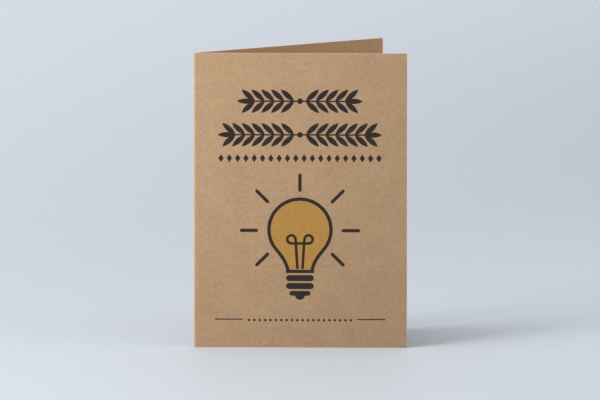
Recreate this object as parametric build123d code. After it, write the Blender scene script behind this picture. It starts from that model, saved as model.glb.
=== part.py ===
"""A folded greeting card of kraft card stock, standing ajar on its lower edges.

The card is one sheet. A creasing rule presses a shallow channel down the middle of its outer side, which
raises a bead on the inner side, and the sheet is folded round that bead. The cover faces -Y, the fold is at
-X, and the back panel runs off behind the cover. The origin is on the table, in the middle of the footprint.
"""

import os
from math import radians

from build123d import *

# The sheet as it is cut, and how far it stands open: millimetres and degrees
SHEET_WIDTH = 254.0  # flat, before the fold
CARD_HEIGHT = 177.8
STOCK_THICKNESS = 0.45
OPENING_ANGLE = 28.4  # between the two panels

# The crease down the middle
FOLD_INNER_RADIUS = 0.15  # from the centre of the bend to a panel's inner side
SCORE_DEPTH = 0.08  # channel that the creasing rule leaves on the outer side
SCORE_STRIP = 0.45  # pressed strip on each panel, beside the bend
SCORE_SHOULDER = 0.30  # slope from the pressed strip up to the full thickness
BEAD_RISE = 0.12  # how far the bead stands out of the inside of the bend

# Worked out from the above: the middle of the stock keeps its length when the sheet is folded
BEND_ANGLE = 180 - OPENING_ANGLE
BEND_OUTER_RADIUS = FOLD_INNER_RADIUS + STOCK_THICKNESS - SCORE_DEPTH
BEND_LENGTH = radians(BEND_ANGLE) * (FOLD_INNER_RADIUS + STOCK_THICKNESS / 2)
PANEL_REACH = (SHEET_WIDTH - BEND_LENGTH) / 2  # from the centre of the bend to a panel's free edge


def cover_section():
    """The cover from above, with its outer side at -Y and the centre of the bend at the origin."""
    inner = -FOLD_INNER_RADIUS
    outer = inner - STOCK_THICKNESS
    pressed = outer + SCORE_DEPTH
    outline = Polyline(
        (0, inner),
        (PANEL_REACH, inner),
        (PANEL_REACH, outer),
        (SCORE_STRIP + SCORE_SHOULDER, outer),
        (SCORE_STRIP, pressed),
        (0, pressed),
        close=True,
    )
    return make_face(outline)


def back_section(cover):
    """The back panel: the cover's mirror image, turned about the bend by the opening angle."""
    return Rot(Z=OPENING_ANGLE) * mirror(cover, about=Plane.XZ)


def bend_section():
    """The material that turns from one panel into the other, with the bead on its inner side."""
    arc = CenterArc((0, 0), BEND_OUTER_RADIUS, 90 + OPENING_ANGLE, BEND_ANGLE)
    turn = make_face([arc, Line(arc @ 1, (0, 0)), Line((0, 0), arc @ 0)])
    bead = Circle(FOLD_INNER_RADIUS + BEAD_RISE)
    return turn + bead


def folded_card():
    """The whole sheet, stood on the table with its footprint centred on the origin."""
    cover = cover_section()
    section = cover + back_section(cover) + bend_section()
    sheet = extrude(section, CARD_HEIGHT)
    footprint = sheet.bounding_box().center()
    return Pos(-footprint.X, -footprint.Y, 0) * sheet


card = folded_card()
card.label = "folded_card"
os.makedirs("parts", exist_ok=True)
export_step(card, "parts/folded_card.step")

box = card.bounding_box()
print("panel", round(PANEL_REACH + BEND_OUTER_RADIUS, 3), "x", CARD_HEIGHT, "mm")
print("volume", round(card.volume, 1), "mm3, from", box.min, "to", box.max)
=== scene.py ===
"""A folded kraft greeting card with a printed cover, standing ajar on a pale studio floor.

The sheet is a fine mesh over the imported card, with its crease, its bead and its trimmed edges. The print lies
on the cover as thin films of ink: a light bulb with rays, and ornament of laurel, lozenges, dots and rules.
"""

import math

import bmesh
import bpy
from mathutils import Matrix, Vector
from mathutils.geometry import delaunay_2d_cdt


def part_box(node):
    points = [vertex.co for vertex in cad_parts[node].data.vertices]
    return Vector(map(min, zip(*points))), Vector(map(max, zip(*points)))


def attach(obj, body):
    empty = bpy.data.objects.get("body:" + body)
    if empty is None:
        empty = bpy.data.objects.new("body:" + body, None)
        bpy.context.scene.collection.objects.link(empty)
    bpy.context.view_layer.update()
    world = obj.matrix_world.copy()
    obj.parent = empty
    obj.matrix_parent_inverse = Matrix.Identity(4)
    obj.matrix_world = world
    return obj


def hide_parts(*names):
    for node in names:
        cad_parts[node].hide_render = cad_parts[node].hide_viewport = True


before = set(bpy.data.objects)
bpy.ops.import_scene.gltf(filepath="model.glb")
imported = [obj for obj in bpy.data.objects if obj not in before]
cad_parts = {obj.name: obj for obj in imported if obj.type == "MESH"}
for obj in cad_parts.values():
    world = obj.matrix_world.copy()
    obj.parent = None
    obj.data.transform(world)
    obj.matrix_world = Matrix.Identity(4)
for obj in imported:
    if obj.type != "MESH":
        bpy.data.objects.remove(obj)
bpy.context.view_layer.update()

MM = 0.001

# The folded sheet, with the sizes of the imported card
STOCK_THICKNESS = 0.45 * MM
OPENING_ANGLE = 28.4  # degrees between the two panels
FOLD_INNER_RADIUS = 0.15 * MM
SCORE_DEPTH = 0.08 * MM
SCORE_STRIP = 0.45 * MM
SCORE_SHOULDER = 0.30 * MM
BEAD_RISE = 0.12 * MM

# The sheet's mesh
SCORE_MARGIN = 0.60 * MM  # flat stock beside the crease, which keeps its shading off the panels
CUT_ROUNDING = 0.10 * MM  # what the trimming blade leaves of a sharp corner
BEND_STEPS = 16
CUT_STEPS = 2
TRIMMED_ANGLE = math.radians(80)  # an edge that turns by more than this is a trimmed one
SHARP_ANGLE = math.radians(25)  # an edge that turns by more than this is shaded as a corner
LEVEL_NORMAL = 0.2  # a face whose normal rises or falls more than this belongs to the upper or lower cut

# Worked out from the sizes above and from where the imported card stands
sheet_low, sheet_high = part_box("folded_card")
BEND_ANGLE = 180 - OPENING_ANGLE
BEND_OUTER_RADIUS = FOLD_INNER_RADIUS + STOCK_THICKNESS - SCORE_DEPTH
BEND_LENGTH = math.radians(BEND_ANGLE) * (FOLD_INNER_RADIUS + STOCK_THICKNESS / 2)
BEND_CENTRE = Vector((sheet_low.x + BEND_OUTER_RADIUS, sheet_low.y + FOLD_INNER_RADIUS + STOCK_THICKNESS))
BEAD_RADIUS = FOLD_INNER_RADIUS + BEAD_RISE
PANEL_REACH = sheet_high.x - BEND_CENTRE.x
CARD_HEIGHT = sheet_high.z - sheet_low.z
COVER_FACE = sheet_low.y

# How the sheet's own coordinates are written into its UV map, in millimetres of the flat sheet
SHEET_MAP = "sheet"
INSIDE_SHIFT = 500.0  # sets the fibres of the inside apart from those of the outside

# The ink films: where their middle lies, and how far they stand out of the cover's face and reach into it
PRINT_OFFSET = 0.28 * MM  # printed a hair towards the fold
PRINT_MIDDLE = (sheet_low.x + sheet_high.x) / 2 - PRINT_OFFSET
DARK_RISE = 0.030 * MM
AMBER_RISE = 0.015 * MM
INK_SINK = 0.020 * MM

# The printed bulb, in millimetres from the print's middle and from the card's lower edge
GLOBE_HEIGHT = 71.3
GLOBE_RADIUS = 18.5  # to the middle of the line
LINE_WIDTH = 2.04
SHOULDER_ANGLE = 38.3  # degrees below the globe's middle where its side runs straight towards the neck
NECK_BEND_RADIUS = 24.0
NECK_END_ANGLE = 11.6  # degrees off upright, where a side meets the neck's bar
NECK_HEIGHT = 46.2
NECK_BAR_HEIGHT = 46.1
NECK_BAR_LENGTH = 16.8
NECK_BAR_CORNER = 0.45
BAND_LENGTH = 16.5
BAND_WIDTH = 3.7
BAND_HEIGHTS = (42.05, 37.25)
CAP_LENGTH = 12.5
CAP_WIDTH = 2.9
CAP_HEIGHT = 32.85
TIP_RADIUS = 2.85
TIP_HEIGHT = 31.7
TIP_FILLET = 0.4
FILAMENT_WIDTH = 1.6
STEM_FOOT = (1.5, 47.6)
CROSSING = (2.45, 63.05)  # where a stem meets the bridge between the loops
LOOP_CENTRE = (5.12, 65.47)
LOOP_RADIUS = 2.45

# The rays: each one's middle and its angle in degrees, with the slanting and level ones on both sides
RAY_LENGTH = 11.0
RAY_WIDTH = 2.02
TOP_RAY = (0.0, 99.7, 90.0)
SIDE_RAYS = ((22.5, 91.45, 45.0), (30.4, 70.85, 0.0), (22.5, 53.3, -45.0))

# The ornament: two rows of laurel, a row of lozenges, and a row of dots between two rules
LAUREL_ROWS = ((148.85, 37.4), (128.6, 49.0))  # height of each row's stem, and its reach to both sides
LAUREL_LEAF = (10.6, 3.2)  # length and width
LAUREL_LEAF_ANGLE = 42.0
LAUREL_PITCH = 5.82
LAUREL_STEM_WIDTH = 0.9
LAUREL_STEM_LAP = 1.0  # how far a stem runs into the leaf at its tip
LAUREL_BERRY_RADIUS = 1.7
LOZENGE_SIZE = (3.2, 4.8)
LOZENGE_PITCH = 4.95
LOZENGE_ROW_HEIGHT = 114.45
LOZENGE_COUNT = 20
DOT_RADIUS = 0.75
DOT_PITCH = 3.2
DOT_ROW_HEIGHT = 16.6
DOT_COUNT = 20
RULE_MIDDLE = 42.45
RULE_LENGTH = 16.85
RULE_WIDTH = 0.68
RULE_HEIGHT = 17.1

# How outlines become meshes, in millimetres
ROUND_TOLERANCE = 0.005  # how far a straight step may cut inside a round outline
MERGE_DISTANCE = 1e-4  # points nearer than this are one
HULL_TRIANGLES = 0  # asks for triangles all over the outlines' hull
LEAST_MITRE = 0.5  # keeps a drawn line from growing a spike where it turns sharply
FLAT_ANGLE = math.radians(1)  # faces that turn by less than this are joined

# The stock's fibres, in millimetres: the cell that may hold one, its length and width, the share of the
# cells that do, and a shift that sets the layers apart
FIBRE_LAYERS = {
    "long_pale": (3.0, 2.8, 0.26, 0.38, 11.3),
    "short_pale": (1.3, 1.2, 0.28, 0.46, 47.9),
    "long_dark": (3.6, 2.8, 0.26, 0.34, 83.1),
    "short_dark": (1.5, 1.3, 0.28, 0.44, 129.7),
    "pale_flecks": (3.8, 1.2, 0.62, 0.30, 213.9),
    "dark_flecks": (4.2, 1.1, 0.70, 0.30, 171.3),
}

# How strongly each layer of fibres shows as pale, as dark and as relief
PALE_WEIGHTS = {"long_pale": 0.5, "short_pale": 0.38, "pale_flecks": 0.75}
DARK_WEIGHTS = {"long_dark": 0.6, "short_dark": 0.45, "dark_flecks": 0.9}
RAISED_WEIGHTS = {"pale": 0.7, "long_dark": 0.4, "short_dark": 0.3}

# The finish of stock and ink, with the sizes of its patterns in millimetres
CLOUD_SIZE = 16.0
BLOT_SIZE = 3.0
PULP_SIZE = 0.4
BLOT_SHARE = 0.65  # how much the blots and the finer pulp add to the grain
PULP_SHARE = 0.9
GRAIN_SPREAD = (-0.62, 0.38)  # how far the grain darkens the stock, at its lowest and at its highest
GRAIN_RELIEF = 0.6  # how far the grain stands up, beside the fibres
TEAR_SIZE = 0.7  # how coarsely the fibres' outlines are torn, and how far
TEAR_REACH = 0.5
FIBRE_CORE = 0.3  # the part of a fibre that shows in full, before it fades towards its rim
SHIFT_SLANT = 1.7  # how far up a layer of fibres is shifted for each step along
RUB_AND_HIGHLIGHT_REACH = (1.1, 0.2)  # distances from the fold, where the paler strip of wear and painted highlight begins and where it is full
RUB_AND_HIGHLIGHT_SIZE = 2.5
CUT_SQUEEZE = (0.8, 9.0, 1.0)  # squeezes the pulp of the cut into layers that run along it
INK_BLOTS = (0.45, 0.75)  # the values of the blots between which the ink grows thin
KRAFT_ROUGHNESS = (0.74, 0.92)
CUT_ROUGHNESS = (0.85, 0.97)
INK_ROUGHNESS = (0.62, 0.86)
KRAFT_BUMP = 0.03 * MM
CUT_BUMP = 0.02 * MM
INK_BUMP = 0.02 * MM

# Colours as the eye reads them, from 0 to 255 each
KRAFT_SHADE = (157, 127, 97)
KRAFT_LIGHT = (171, 141, 109)
# painted warm bounce light, laid on the inside faces
KRAFT_PAINTED_BOUNCE = (180, 136, 95)
KRAFT_GRAIN = (138, 109, 81)
KRAFT_PALE_FIBRE = (200, 172, 141)
KRAFT_DARK_FIBRE = (118, 92, 66)
# paler along the fold: partly wear, partly a painted highlight of the fold's edge
KRAFT_RUB_AND_HIGHLIGHT = (202, 175, 145)
CUT_SHADE = (196, 165, 130)
CUT_LIGHT = (224, 198, 164)
CUT_FIBRE = (140, 110, 78)
# The floor's tones are painted: darker to the front left to even out the light, and pale far behind as painted
# light
FLOOR_FRONT_LEFT = (177, 183, 188)
FLOOR_BACK_RIGHT = (195, 201, 209)
FLOOR_FAR_PAINTED_LIGHT = (240, 247, 255)
FLOOR_GRAIN = (149, 151, 153)

# Each ink's colours: where it is full, where it is thin, on pale fibres and on dark ones
DARK_INK = ((32, 22, 19), (42, 31, 27), (80, 59, 43), (30, 21, 18))
AMBER_INK = ((154, 115, 53), (160, 123, 63), (182, 146, 90), (124, 88, 45))

# The camera, as far back as a long lens stands: its azimuth in degrees from the card's left towards its
# front, its elevation in degrees, its distance in metres and its lens in millimetres
CAMERA_AZIMUTH = 91.11
CAMERA_ELEVATION = 9.48
CAMERA_DISTANCE = 8.0
CAMERA_AIM = Vector((-0.25 * MM, COVER_FACE, 89.28 * MM))
CAMERA_LENS = 805.6

# The softboxes, placed like the camera: azimuth, elevation, distance, size in metres and power in watts
SOFTBOXES = {
    "key_softbox": (24, 58, 1.2, 0.55, 7.9),
    "left_softbox": (36, 10, 1.2, 0.50, 12.4),
    "right_softbox": (166, 13, 0.8, 0.33, 1.28),
}
SOFTBOX_COLOUR = (1.0, 0.99, 0.975)
AIR_COLOUR = (0.97, 0.99, 1.02, 1.0)
AIR_STRENGTH = 0.70

# The floor board in metres, with a painted tone that evens out the light near the card and painted light that
# makes it grow pale far behind it
FLOOR_HALF = 6.0
FLOOR_NEAR_REACH = 1.2  # how far the near tones run, to the front left and to the back right
FLOOR_FAR_REACH = (0.28, 1.79)  # between these distances behind the card the board grows pale
FLOOR_FAR_SLANT = 0.89  # how much sooner it does so to the left
FLOOR_GRAIN_SIZE = 0.017
FLOOR_ROUGHNESS = (0.5, 0.6)


def linear(colour):
    """A colour from 0 to 255 in the linear values that shaders take."""
    shares = [value / 255 for value in colour]
    return [s / 12.92 if s <= 0.04045 else ((s + 0.055) / 1.055) ** 2.4 for s in shares]


def direction(angle):
    """The way that an angle in degrees points, counted from the right."""
    return Vector((math.cos(math.radians(angle)), math.sin(math.radians(angle))))


# Building blocks for materials


def add_node(tree, kind, **settings):
    node = tree.nodes.new(kind)
    for name, value in settings.items():
        setattr(node, name, value)
    return node


def feed(tree, socket, source):
    """Links source to a socket, or sets the socket if source is a plain value."""
    if isinstance(source, bpy.types.NodeSocket):
        tree.links.new(source, socket)
    else:
        socket.default_value = source


def calculation(tree, kind, operation, sources):
    node = add_node(tree, kind, operation=operation)
    for socket, source in zip(node.inputs, sources):
        feed(tree, socket, source)
    return node.outputs[0]


def maths(tree, operation, *sources):
    return calculation(tree, "ShaderNodeMath", operation, sources)


def vector_maths(tree, operation, *sources):
    return calculation(tree, "ShaderNodeVectorMath", operation, sources)


def separated(tree, vector):
    node = add_node(tree, "ShaderNodeSeparateXYZ")
    feed(tree, node.inputs[0], vector)
    return node.outputs


def smooth_step(tree, value, start, end):
    """0 where value is at start, 1 where it is at end, and an eased slope between them."""
    node = add_node(tree, "ShaderNodeMapRange", interpolation_type="SMOOTHSTEP")
    for name, source in (("Value", value), ("From Min", start), ("From Max", end)):
        feed(tree, node.inputs[name], source)
    return node.outputs["Result"]


def stretched(tree, value, low, high):
    """A value from 0 to 1 made to run from low to high."""
    return maths(tree, "ADD", maths(tree, "MULTIPLY", value, high - low), low)


def mix_colours(tree, share, first, second):
    node = add_node(tree, "ShaderNodeMix", data_type="RGBA", clamp_factor=True)
    sockets = [socket for socket in node.inputs if socket.type == "RGBA"]
    feed(tree, node.inputs[0], share)
    for socket, colour in zip(sockets, (first, second)):
        feed(tree, socket, colour if isinstance(colour, bpy.types.NodeSocket) else (*linear(colour), 1.0))
    return next(socket for socket in node.outputs if socket.type == "RGBA")


def tint(tree, colour, other, mask, amount):
    """A colour with another one mixed in where a mask is, up to a given amount."""
    return mix_colours(tree, maths(tree, "MULTIPLY", mask, amount), colour, other)


def add_noise(tree, place, size, detail, roughness):
    """A noise texture whose largest blots are about size across, in the units of place."""
    node = add_node(tree, "ShaderNodeTexNoise", noise_dimensions="2D")
    feed(tree, node.inputs["Vector"], place)
    feed(tree, node.inputs["Scale"], 1 / size)
    feed(tree, node.inputs["Detail"], detail)
    feed(tree, node.inputs["Roughness"], roughness)
    return node.outputs


def noise(tree, place, size, detail, roughness=0.55):
    return add_noise(tree, place, size, detail, roughness)[0]


def ragged(tree, place, size, reach):
    """A place pushed this way and that by up to about reach, which makes outlines drawn over it ragged."""
    colour = add_noise(tree, place, size, detail=2.0, roughness=0.5)["Color"]
    push = vector_maths(tree, "SUBTRACT", colour, (0.5, 0.5, 0.5))
    return vector_maths(tree, "ADD", place, vector_maths(tree, "MULTIPLY", push, (2 * reach, 2 * reach, 0.0)))


def strongest(tree, masks, weights):
    """The highest of some named masks, each with its weight."""
    weighted = [maths(tree, "MULTIPLY", masks[name], weight) for name, weight in weights.items()]
    highest = weighted[0]
    for mask in weighted[1:]:
        highest = maths(tree, "MAXIMUM", highest, mask)
    return highest


def new_material(name, specular):
    """A material with its Principled shader, whose plain values are set on its own sockets."""
    material = bpy.data.materials.new(name)
    material.use_nodes = True
    tree = material.node_tree
    tree.nodes.clear()
    shader = add_node(tree, "ShaderNodeBsdfPrincipled")
    feed(tree, add_node(tree, "ShaderNodeOutputMaterial").inputs["Surface"], shader.outputs[0])
    shader.inputs["Specular IOR Level"].default_value = specular
    return material, tree, shader


def add_bump(tree, shader, height, depth, strength):
    bump = add_node(tree, "ShaderNodeBump")
    feed(tree, bump.inputs["Strength"], strength)
    feed(tree, bump.inputs["Distance"], depth)
    feed(tree, bump.inputs["Height"], height)
    feed(tree, shader.inputs["Normal"], bump.outputs["Normal"])


# Kraft stock and ink


def fibre_layer(tree, place, cell, length, width, share, shift):
    """A mask of short bent fibres with tapered ends, one to a cell, in some share of the cells."""
    moved = vector_maths(tree, "ADD", place, (shift, SHIFT_SLANT * shift, 0.0))
    cells = add_node(tree, "ShaderNodeTexVoronoi", voronoi_dimensions="2D", feature="F1")
    feed(tree, cells.inputs["Vector"], moved)
    feed(tree, cells.inputs["Scale"], 1 / cell)
    chance = add_node(tree, "ShaderNodeSeparateColor")
    feed(tree, chance.inputs[0], cells.outputs["Color"])
    turn, presence, curl = chance.outputs
    turned = add_node(tree, "ShaderNodeVectorRotate", rotation_type="Z_AXIS")
    feed(tree, turned.inputs["Vector"], vector_maths(tree, "SUBTRACT", moved, cells.outputs["Position"]))
    feed(tree, turned.inputs["Angle"], maths(tree, "MULTIPLY", turn, math.tau))
    along, across, _ = separated(tree, turned.outputs[0])
    from_middle = maths(tree, "POWER", maths(tree, "DIVIDE", along, length / 2), 2.0)
    bow = maths(tree, "MULTIPLY", maths(tree, "SUBTRACT", curl, 0.5), from_middle)
    off_line = maths(tree, "ADD", across, maths(tree, "MULTIPLY", bow, length / 2))
    from_line = maths(tree, "POWER", maths(tree, "DIVIDE", off_line, width / 2), 2.0)
    body = smooth_step(tree, maths(tree, "ADD", from_middle, from_line), 1.0, FIBRE_CORE)
    return maths(tree, "MULTIPLY", body, maths(tree, "LESS_THAN", presence, share))


def kraft_fibre_group():
    """Fibres and cloudiness of kraft stock, for the bare card and for the ink that lets it show through."""
    group = bpy.data.node_groups.new("Kraft fibres", "ShaderNodeTree")
    group.interface.new_socket("Place", in_out="INPUT", socket_type="NodeSocketVector")
    place = add_node(group, "NodeGroupInput").outputs["Place"]
    blots = maths(group, "MULTIPLY", noise(group, place, BLOT_SIZE, detail=5.0), BLOT_SHARE)
    pulp = maths(group, "MULTIPLY", noise(group, place, PULP_SIZE, detail=5.0, roughness=0.75), PULP_SHARE)
    grain = maths(group, "ADD", blots, pulp)
    torn = ragged(group, place, TEAR_SIZE, TEAR_REACH)
    masks = {name: fibre_layer(group, torn, *sizes) for name, sizes in FIBRE_LAYERS.items()}
    masks["pale"] = strongest(group, masks, PALE_WEIGHTS)
    raised = strongest(group, masks, RAISED_WEIGHTS)
    outputs = {
        "Cloud": noise(group, place, CLOUD_SIZE, detail=3.0),
        "Grain": grain,
        "Pale fibres": masks["pale"],
        "Dark fibres": strongest(group, masks, DARK_WEIGHTS),
        "Relief": maths(group, "ADD", raised, maths(group, "MULTIPLY", grain, GRAIN_RELIEF)),
    }
    for name in outputs:
        group.interface.new_socket(name, in_out="OUTPUT", socket_type="NodeSocketFloat")
    result = add_node(group, "NodeGroupOutput")
    for name, value in outputs.items():
        feed(group, result.inputs[name], value)
    return group


def add_fibres(tree, group):
    """The fibre group's outputs, with the place on the flat sheet that they are read at."""
    fibres = add_node(tree, "ShaderNodeGroup")
    fibres.node_tree = group
    place = add_node(tree, "ShaderNodeUVMap", uv_map=SHEET_MAP).outputs["UV"]
    feed(tree, fibres.inputs["Place"], place)
    return fibres.outputs, place


def kraft_card_material(fibre_group):
    """Uncoated brown card, cloudy and full of fibres, with painted warm bounce light inside, and paler along
    the fold from wear and a painted highlight.
    """
    material, tree, shader = new_material("kraft_card", specular=0.25)
    fibres, place = add_fibres(tree, fibre_group)
    along, up, _ = separated(tree, place)
    inside = maths(tree, "GREATER_THAN", up, INSIDE_SHIFT / 2)
    by_fold = smooth_step(tree, maths(tree, "ABSOLUTE", along), *RUB_AND_HIGHLIGHT_REACH)
    # a paler strip along the fold, partly wear and partly a painted highlight of the fold's edge
    rub_and_highlight = maths(tree, "MULTIPLY", by_fold, noise(tree, place, RUB_AND_HIGHLIGHT_SIZE, detail=4.0))
    colour = mix_colours(tree, fibres["Cloud"], KRAFT_SHADE, KRAFT_LIGHT)
    # painted warm bounce light: the inside faces are tinted warmer and lighter, standing in for light thrown
    # back from the cover
    colour = tint(tree, colour, KRAFT_PAINTED_BOUNCE, inside, amount=0.45)
    colour = mix_colours(tree, stretched(tree, fibres["Grain"], *GRAIN_SPREAD), colour, KRAFT_GRAIN)
    colour = tint(tree, colour, KRAFT_PALE_FIBRE, fibres["Pale fibres"], amount=0.6)
    colour = tint(tree, colour, KRAFT_DARK_FIBRE, fibres["Dark fibres"], amount=0.6)
    colour = tint(tree, colour, KRAFT_RUB_AND_HIGHLIGHT, rub_and_highlight, amount=0.55)
    feed(tree, shader.inputs["Base Color"], colour)
    feed(tree, shader.inputs["Roughness"], stretched(tree, fibres["Grain"], *KRAFT_ROUGHNESS))
    add_bump(tree, shader, fibres["Relief"], KRAFT_BUMP, strength=0.6)
    return material


def cut_edge_material(fibre_group):
    """The trimmed edge: paler pulp, pressed into fine layers that run along the cut."""
    material, tree, shader = new_material("cut_edge", specular=0.2)
    fibres, place = add_fibres(tree, fibre_group)
    squeezed = vector_maths(tree, "MULTIPLY", place, CUT_SQUEEZE)
    layers = noise(tree, squeezed, size=1.0, detail=4.0, roughness=0.7)
    colour = mix_colours(tree, layers, CUT_SHADE, CUT_LIGHT)
    colour = tint(tree, colour, CUT_FIBRE, fibres["Dark fibres"], amount=0.4)
    feed(tree, shader.inputs["Base Color"], colour)
    feed(tree, shader.inputs["Roughness"], stretched(tree, layers, *CUT_ROUGHNESS))
    add_bump(tree, shader, layers, CUT_BUMP, strength=0.5)
    return material


def ink_material(name, fibre_group, tones):
    """Matt ink sunk into uncoated stock: thinner in blots, and broken where fibres stand up."""
    full, thin, on_pale, on_dark = tones
    material, tree, shader = new_material(name, specular=0.3)
    fibres, place = add_fibres(tree, fibre_group)
    blots = noise(tree, place, BLOT_SIZE, detail=4.0, roughness=0.65)
    colour = mix_colours(tree, smooth_step(tree, blots, *INK_BLOTS), full, thin)
    colour = tint(tree, colour, on_pale, fibres["Pale fibres"], amount=0.5)
    colour = tint(tree, colour, on_dark, fibres["Dark fibres"], amount=0.5)
    feed(tree, shader.inputs["Base Color"], colour)
    feed(tree, shader.inputs["Roughness"], stretched(tree, fibres["Grain"], *INK_ROUGHNESS))
    add_bump(tree, shader, fibres["Relief"], INK_BUMP, strength=0.5)
    return material


# Pieces of the card


def add_object(name, data):
    thing = bpy.data.objects.new(name, data)
    bpy.context.scene.collection.objects.link(thing)
    return thing


def finished_mesh(name, bm):
    mesh = bpy.data.meshes.new(name)
    bm.to_mesh(mesh)
    bm.free()
    return mesh


def add_piece(name, mesh, materials):
    """Puts a mesh into the scene as a piece that rides on the card."""
    for material in materials:
        mesh.materials.append(material)
    piece = add_object(name, mesh)
    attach(piece, "root")
    return piece


# The folded sheet. Each panel has a way along it, away from the fold, and a way out of its outer side

COVER_WAYS = (direction(0), direction(-90))
BACK_WAYS = (direction(OPENING_ANGLE), direction(OPENING_ANGLE + 90))
MOUTH_WAY = direction(OPENING_ANGLE / 2)


def panel_stations(ways):
    """Pairs of outer and inner points along a panel, from its free edge to the crease, seen from above."""
    along, outward = ways
    full = FOLD_INNER_RADIUS + STOCK_THICKNESS
    shoulder = SCORE_STRIP + SCORE_SHOULDER
    steps = (
        (PANEL_REACH, full),
        (shoulder + SCORE_MARGIN, full),
        (shoulder, full),
        (SCORE_STRIP, full - SCORE_DEPTH),
    )
    pairs = []
    for reach, depth in steps:
        station = BEND_CENTRE + reach * along
        pairs.append((station + depth * outward, station + FOLD_INNER_RADIUS * outward))
    return pairs


def bend_stations():
    """Pairs of points round the bend: the outer ones on its arc, the inner ones on the bead."""
    bead_edge = math.degrees(math.asin(FOLD_INNER_RADIUS / BEAD_RADIUS))
    pairs = []
    for step in range(BEND_STEPS + 1):
        share = step / BEND_STEPS
        outer = direction(-90 - BEND_ANGLE * share)
        inner = direction(-bead_edge + (OPENING_ANGLE + 2 * bead_edge) * share)
        pairs.append((BEND_CENTRE + BEND_OUTER_RADIUS * outer, BEND_CENTRE + BEAD_RADIUS * inner))
    return pairs


def build_sheet():
    """The sheet as a band of quads that runs from the cover's free edge round the crease to the back's."""
    stations = panel_stations(COVER_WAYS) + bend_stations() + panel_stations(BACK_WAYS)[::-1]
    bm = bmesh.new()
    rings = []
    for outer, inner in stations:
        corners = ((outer, sheet_low.z), (outer, sheet_high.z), (inner, sheet_high.z), (inner, sheet_low.z))
        rings.append([bm.verts.new((point.x, point.y, height)) for point, height in corners])
    for ring, following in zip(rings, rings[1:]):
        for corner in range(4):
            after = (corner + 1) % 4
            bm.faces.new((ring[corner], ring[after], following[after], following[corner]))
    bm.faces.new(rings[0][::-1])
    bm.faces.new(rings[-1])
    bmesh.ops.recalc_face_normals(bm, faces=bm.faces)
    trimmed = [edge for edge in bm.edges if edge.calc_face_angle(0) > TRIMMED_ANGLE]
    bmesh.ops.bevel(bm, geom=trimmed, offset=CUT_ROUNDING, segments=CUT_STEPS, profile=0.5, affect="EDGES")
    bm.normal_update()
    return bm


def sheet_place(point):
    """A point's distance from the fold along the flat sheet, positive on the cover, and its height, in mm."""
    away = point.xy - BEND_CENTRE
    on_cover, on_back = away.dot(COVER_WAYS[0]), away.dot(BACK_WAYS[0])
    if on_cover >= on_back:
        along = max(on_cover + BEND_LENGTH / 2, 0.0)
    else:
        along = min(-on_back - BEND_LENGTH / 2, 0.0)
    return along / MM, (point.z - sheet_low.z) / MM


def stock_depth(point):
    """How far out in the stock a point lies, in millimetres from the centre of the bend."""
    away = point.xy - BEND_CENTRE
    return max(away.dot(COVER_WAYS[1]), away.dot(BACK_WAYS[1])) / MM


def on_level_cut(face):
    """True for a face of the upper or the lower cut, with its rounding."""
    return abs(face.normal.z) > LEVEL_NORMAL


def on_upright_cut(face):
    """True for a face of a panel's free edge, with its rounding."""
    away = face.calc_center_median().xy - BEND_CENTRE
    return max(away.dot(COVER_WAYS[0]), away.dot(BACK_WAYS[0])) > PANEL_REACH - CUT_ROUNDING


def on_inside(face):
    """True for a face that looks into the space between the panels."""
    away = face.calc_center_median().xy - BEND_CENTRE
    if away.length < SCORE_STRIP:
        return face.normal.xy.dot(MOUTH_WAY) > 0
    return face.normal.xy.dot(away - MOUTH_WAY * away.dot(MOUTH_WAY)) < 0


def add_card_sheet(kraft, cut_edge):
    """The folded sheet, with its places written into its UV map and its cuts in a material of their own."""
    bm = build_sheet()
    layer = bm.loops.layers.uv.new(SHEET_MAP)
    for face in bm.faces:
        level = on_level_cut(face)
        cut = level or on_upright_cut(face)
        shift = INSIDE_SHIFT if on_inside(face) else 0.0
        face.material_index = 1 if cut else 0
        face.smooth = True
        for loop in face.loops:
            along, up = sheet_place(loop.vert.co)
            if cut:
                loop[layer].uv = (along if level else up, stock_depth(loop.vert.co))
            else:
                loop[layer].uv = (along, up + shift)
    mesh = finished_mesh("card_sheet", bm)
    mesh.set_sharp_from_angle(angle=SHARP_ANGLE)
    sheet = add_piece("card_sheet", mesh, [kraft, cut_edge])
    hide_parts("folded_card")


# Outlines of the print, in millimetres on the cover


def arc(centre, radius, start, end):
    """Points on a circle from one angle to another, in degrees, close enough together to look round."""
    longest = 2 * math.degrees(math.acos(1 - ROUND_TOLERANCE / radius))
    steps = math.ceil(abs(end - start) / longest)
    angles = [start + (end - start) * step / steps for step in range(steps + 1)]
    return [Vector(centre) + radius * direction(angle) for angle in angles]


def mirrored(outline):
    return [Vector((-point.x, point.y)) for point in reversed(outline)]


def line_outline(path, width, round_ends=True):
    """The outline of a drawn line of a given width that follows a path."""
    half = width / 2
    ways = [(after - before).normalized() for before, after in zip(path, path[1:])]
    sides = []
    for before, after in zip([ways[0], *ways], [*ways, ways[-1]]):
        way = (before + after).normalized()
        sides.append(Vector((-way.y, way.x)) * half / max(way.dot(before), LEAST_MITRE))
    left = [point + side for point, side in zip(path, sides)]
    right = [point - side for point, side in zip(path, sides)]
    if not round_ends:
        return left + right[::-1]
    heading = math.degrees(math.atan2(ways[-1].y, ways[-1].x))
    leaving = math.degrees(math.atan2(ways[0].y, ways[0].x))
    far_cap = arc(path[-1], half, heading + 90, heading - 90)[1:-1]
    near_cap = arc(path[0], half, leaving - 90, leaving - 270)[1:-1]
    return left + far_cap + right[::-1] + near_cap


def bar(middle, length, width, angle=0.0):
    """A straight line with round ends, whose length counts them in."""
    half_way = direction(angle) * (length - width) / 2
    return line_outline([Vector(middle) - half_way, Vector(middle) + half_way], width)


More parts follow.
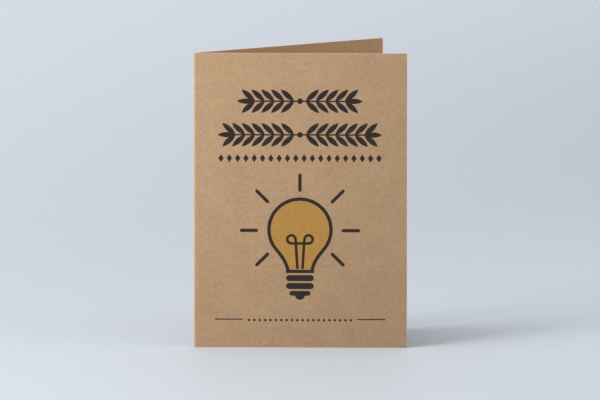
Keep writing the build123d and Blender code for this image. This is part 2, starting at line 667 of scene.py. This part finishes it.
def soft_bar(middle, length, width, corner):
    """A level bar whose corners are only a little rounded."""
    across, up = length / 2 - corner, width / 2 - corner
    turns = ((across, up, 0), (-across, up, 90), (-across, -up, 180), (across, -up, 270))
    return [
        point
        for u, v, start in turns
        for point in arc(Vector(middle) + Vector((u, v)), corner, start, start + 90)
    ]


def disc(middle, radius):
    return arc(middle, radius, 0, 360)[:-1]


def lozenge(middle, size):
    width, height = size
    corners = ((-width / 2, 0), (0, -height / 2), (width / 2, 0), (0, height / 2))
    return [Vector(middle) + Vector(corner) for corner in corners]


def leaf(base, size, angle):
    """A leaf between two arcs that meet in points, from its base out at an angle in degrees."""
    length, width = size
    radius = (width * width + length * length) / (4 * width)
    spread = math.degrees(math.asin(length / 2 / radius))
    middle = Vector(base) + length / 2 * direction(angle)
    centre_off = (radius - width / 2) * direction(angle + 90)
    lower = arc(middle + centre_off, radius, angle + 270 - spread, angle + 270 + spread)
    upper = arc(middle - centre_off, radius, angle + 90 - spread, angle + 90 + spread)
    return [Vector(base), *lower[1:], *upper[1:-1]]


def laurel(height, reach):
    """Two sprigs that grow apart from a berry, with leaves in pairs and one at each tip."""
    stem_reach = reach - LAUREL_LEAF[0]
    last_pair = math.floor((stem_reach - 2 * LAUREL_BERRY_RADIUS) / LAUREL_PITCH)
    sprig = [leaf((stem_reach, height), LAUREL_LEAF, 0)]
    for pair in range(last_pair + 1):
        base = (stem_reach - pair * LAUREL_PITCH, height)
        sprig += [leaf(base, LAUREL_LEAF, angle) for angle in (LAUREL_LEAF_ANGLE, -LAUREL_LEAF_ANGLE)]
    stem = bar((0, height), 2 * (stem_reach + LAUREL_STEM_LAP), LAUREL_STEM_WIDTH)
    return [disc((0, height), LAUREL_BERRY_RADIUS), stem, *sprig, *(mirrored(outline) for outline in sprig)]


def row_of(count, pitch, height):
    """The places of a centred row's motifs."""
    return [((step - (count - 1) / 2) * pitch, height) for step in range(count)]


def bulb_line():
    """The middle of the bulb's line, from the left end of the neck over the globe to the right end."""
    globe = arc((0, GLOBE_HEIGHT), GLOBE_RADIUS, 90, -SHOULDER_ANGLE)
    outward = direction(-SHOULDER_ANGLE)
    downward = direction(-SHOULDER_ANGLE - 90)
    bend_drop = NECK_BEND_RADIUS * (direction(-NECK_END_ANGLE).y - outward.y)
    run = (globe[-1].y - bend_drop - NECK_HEIGHT) / -downward.y
    bend_centre = globe[-1] + run * downward + NECK_BEND_RADIUS * outward
    side = globe + arc(bend_centre, NECK_BEND_RADIUS, 180 - SHOULDER_ANGLE, 180 - NECK_END_ANGLE)
    return mirrored(side)[:-1] + side


def bulb_outline():
    neck_bar = soft_bar((0, NECK_BAR_HEIGHT), NECK_BAR_LENGTH, LINE_WIDTH, NECK_BAR_CORNER)
    return [line_outline(bulb_line(), LINE_WIDTH, round_ends=False), neck_bar]


def bulb_filament():
    """A stem and a loop on each side, and a bridge that runs from loop to loop across the stems."""
    crossing = Vector(CROSSING)
    away = crossing - Vector(LOOP_CENTRE)
    facing = math.degrees(math.atan2(away.y, away.x)) % 360
    touch = math.degrees(math.acos(LOOP_RADIUS / away.length))
    loop = arc(LOOP_CENTRE, LOOP_RADIUS, facing - touch, facing + touch - 360)
    side = line_outline([Vector(STEM_FOOT), crossing, *loop], FILAMENT_WIDTH, round_ends=False)
    half_bridge = [crossing, loop[-1]]
    bridge = line_outline(mirrored(half_bridge) + half_bridge, FILAMENT_WIDTH)
    return [side, mirrored(side), bridge]


def bulb_base():
    """Two bands and a cap, with a round tip under the cap and a soft corner on each side of it."""
    bands = [bar((0, height), BAND_LENGTH, BAND_WIDTH) for height in BAND_HEIGHTS]
    cap = bar((0, CAP_HEIGHT), CAP_LENGTH, CAP_WIDTH)
    underside = CAP_HEIGHT - CAP_WIDTH / 2
    corner = Vector((math.sqrt(TIP_RADIUS**2 - (TIP_HEIGHT - underside) ** 2), underside))
    turn = corner + Vector((TIP_FILLET, -TIP_FILLET))
    soft = [Vector((0.0, underside)), *arc(turn, TIP_FILLET, 180, 90)]
    tip = arc((0, TIP_HEIGHT), TIP_RADIUS, 180, 360)
    return [*bands, cap, tip, soft, mirrored(soft)]


def bulb_rays():
    rays = [TOP_RAY, *SIDE_RAYS, *((-u, v, -angle) for u, v, angle in SIDE_RAYS)]
    return [bar((u, v), RAY_LENGTH, RAY_WIDTH, angle) for u, v, angle in rays]


def foot_rules():
    return [bar((side * RULE_MIDDLE, RULE_HEIGHT), RULE_LENGTH, RULE_WIDTH) for side in (-1, 1)]


# Films of ink


def anticlockwise(outline):
    """An outline in the order that has its inside on the left."""
    doubled_area = sum(a.x * b.y - b.x * a.y for a, b in zip(outline, outline[1:] + outline[:1]))
    return outline if doubled_area > 0 else outline[::-1]


def covered(outlines):
    """Points, and triangles between them, that cover the union of some outlines."""
    points, loops = [], []
    for outline in outlines:
        start = len(points)
        points += anticlockwise(outline)
        loops.append(list(range(start, len(points))))
    corners, _, triangles, _, _, owners = delaunay_2d_cdt(points, [], loops, HULL_TRIANGLES, MERGE_DISTANCE)
    return corners, [triangle for triangle, owner in zip(triangles, owners) if owner]


def lay_front(bm, outlines, rise):
    """Adds the front of a film, over the union of some outlines and in as few faces as will do."""
    corners, triangles = covered(outlines)
    verts = {}
    for corner in sorted({corner for triangle in triangles for corner in triangle}):
        u, v = corners[corner] * MM
        verts[corner] = bm.verts.new((PRINT_MIDDLE + u, COVER_FACE - rise, sheet_low.z + v))
    for triangle in triangles:
        bm.faces.new([verts[corner] for corner in triangle])
    bmesh.ops.dissolve_limit(bm, angle_limit=FLAT_ANGLE, verts=bm.verts, edges=bm.edges)


def film_mesh(name, outlines, rise):
    """A thin closed film of ink: a front, a back that lies in the card, and a rim between them."""
    bm = bmesh.new()
    layer = bm.loops.layers.uv.new(SHEET_MAP)
    lay_front(bm, outlines, rise)
    fronts = bm.faces[:]
    rim = [edge for edge in bm.edges if edge.is_boundary]
    sunk = {vert: bm.verts.new((vert.co.x, COVER_FACE + INK_SINK, vert.co.z)) for vert in bm.verts[:]}
    for first, second in (edge.verts for edge in rim):
        bm.faces.new((first, second, sunk[second], sunk[first]))
    for face in fronts:
        bm.faces.new([sunk[vert] for vert in face.verts])
    bmesh.ops.recalc_face_normals(bm, faces=bm.faces)
    for loop in (loop for face in bm.faces for loop in face.loops):
        loop[layer].uv = sheet_place(loop.vert.co)
    return finished_mesh(name, bm)


def add_print(dark, amber):
    """The whole print of the cover, one piece for each part of the figure and of the ornament."""
    lozenges = row_of(LOZENGE_COUNT, LOZENGE_PITCH, LOZENGE_ROW_HEIGHT)
    dots = row_of(DOT_COUNT, DOT_PITCH, DOT_ROW_HEIGHT)
    dark_prints = {
        "bulb_outline": bulb_outline(),
        "bulb_filament": bulb_filament(),
        "bulb_base": bulb_base(),
        "bulb_rays": bulb_rays(),
        "laurel_rows": [outline for row in LAUREL_ROWS for outline in laurel(*row)],
        "lozenge_row": [lozenge(place, LOZENGE_SIZE) for place in lozenges],
        "dot_row": [disc(place, DOT_RADIUS) for place in dots],
        "foot_rules": foot_rules(),
    }
    for name, outlines in dark_prints.items():
        add_piece(name, film_mesh(name, outlines, DARK_RISE), [dark])
    add_piece("bulb_glow", film_mesh("bulb_glow", [bulb_line()], AMBER_RISE), [amber])


# The studio


def studio_floor_material():
    """Pale matt board with the faintest grain, with a painted tone that evens out the light near the card and
    painted light that makes it lighter far behind it.
    """
    material, tree, shader = new_material("studio_floor", specular=0.12)
    place = add_node(tree, "ShaderNodeTexCoord").outputs["Object"]
    across, depth, _ = separated(tree, place)
    grain = noise(tree, place, FLOOR_GRAIN_SIZE, detail=2.0)
    to_back_right = smooth_step(tree, maths(tree, "ADD", across, depth), -FLOOR_NEAR_REACH, FLOOR_NEAR_REACH)
    to_back_left = maths(tree, "SUBTRACT", depth, maths(tree, "MULTIPLY", across, FLOOR_FAR_SLANT))
    # painted tone, darker to the front left, that evens out the softboxes' light near the card
    colour = mix_colours(tree, to_back_right, FLOOR_FRONT_LEFT, FLOOR_BACK_RIGHT)
    # painted light: the board grows paler far behind the card
    colour = mix_colours(tree, smooth_step(tree, to_back_left, *FLOOR_FAR_REACH), colour, FLOOR_FAR_PAINTED_LIGHT)
    colour = tint(tree, colour, FLOOR_GRAIN, grain, amount=0.04)
    feed(tree, shader.inputs["Base Color"], colour)
    feed(tree, shader.inputs["Roughness"], stretched(tree, grain, *FLOOR_ROUGHNESS))
    return material


def add_floor():
    mesh = bpy.data.meshes.new("studio_floor")
    corners = [(x * FLOOR_HALF, y * FLOOR_HALF, 0) for x, y in ((-1, -1), (1, -1), (1, 1), (-1, 1))]
    mesh.from_pydata(corners, [], [(0, 1, 2, 3)])
    mesh.materials.append(studio_floor_material())
    add_object("studio_floor", mesh)


def towards(azimuth, elevation):
    """The way from the card, by degrees from its left towards its front and by degrees of height."""
    level, up = direction(elevation)
    across, depth = direction(azimuth + 180) * level
    return Vector((across, depth, up))


def add_facing(name, data, target, way, distance):
    """A camera or a light at some distance from a target in a given way, turned to look at it."""
    thing = add_object(name, data)
    thing.location = target + distance * way
    thing.rotation_euler = (-way).to_track_quat("-Z", "Y").to_euler()
    return thing


def add_lights():
    middle = Vector((0, 0, CARD_HEIGHT / 2))
    for name, (azimuth, elevation, distance, size, power) in SOFTBOXES.items():
        light = bpy.data.lights.new(name, "AREA")
        light.size = size
        light.energy = power
        light.color = SOFTBOX_COLOUR
        add_facing(name, light, middle, towards(azimuth, elevation), distance)
    world = bpy.data.worlds.new("studio_air")
    world.use_nodes = True
    air = world.node_tree.nodes["Background"]
    air.inputs["Color"].default_value = AIR_COLOUR
    air.inputs["Strength"].default_value = AIR_STRENGTH
    bpy.context.scene.world = world


def add_camera():
    camera = bpy.data.cameras.new("camera")
    camera.lens = CAMERA_LENS
    way = towards(CAMERA_AZIMUTH, CAMERA_ELEVATION)
    bpy.context.scene.camera = add_facing("camera", camera, CAMERA_AIM, way, CAMERA_DISTANCE)
    bpy.context.scene.view_settings.view_transform = "Standard"


fibre_group = kraft_fibre_group()
add_card_sheet(kraft_card_material(fibre_group), cut_edge_material(fibre_group))
add_print(ink_material("dark_ink", fibre_group, DARK_INK), ink_material("amber_ink", fibre_group, AMBER_INK))
add_floor()
add_lights()
add_camera()
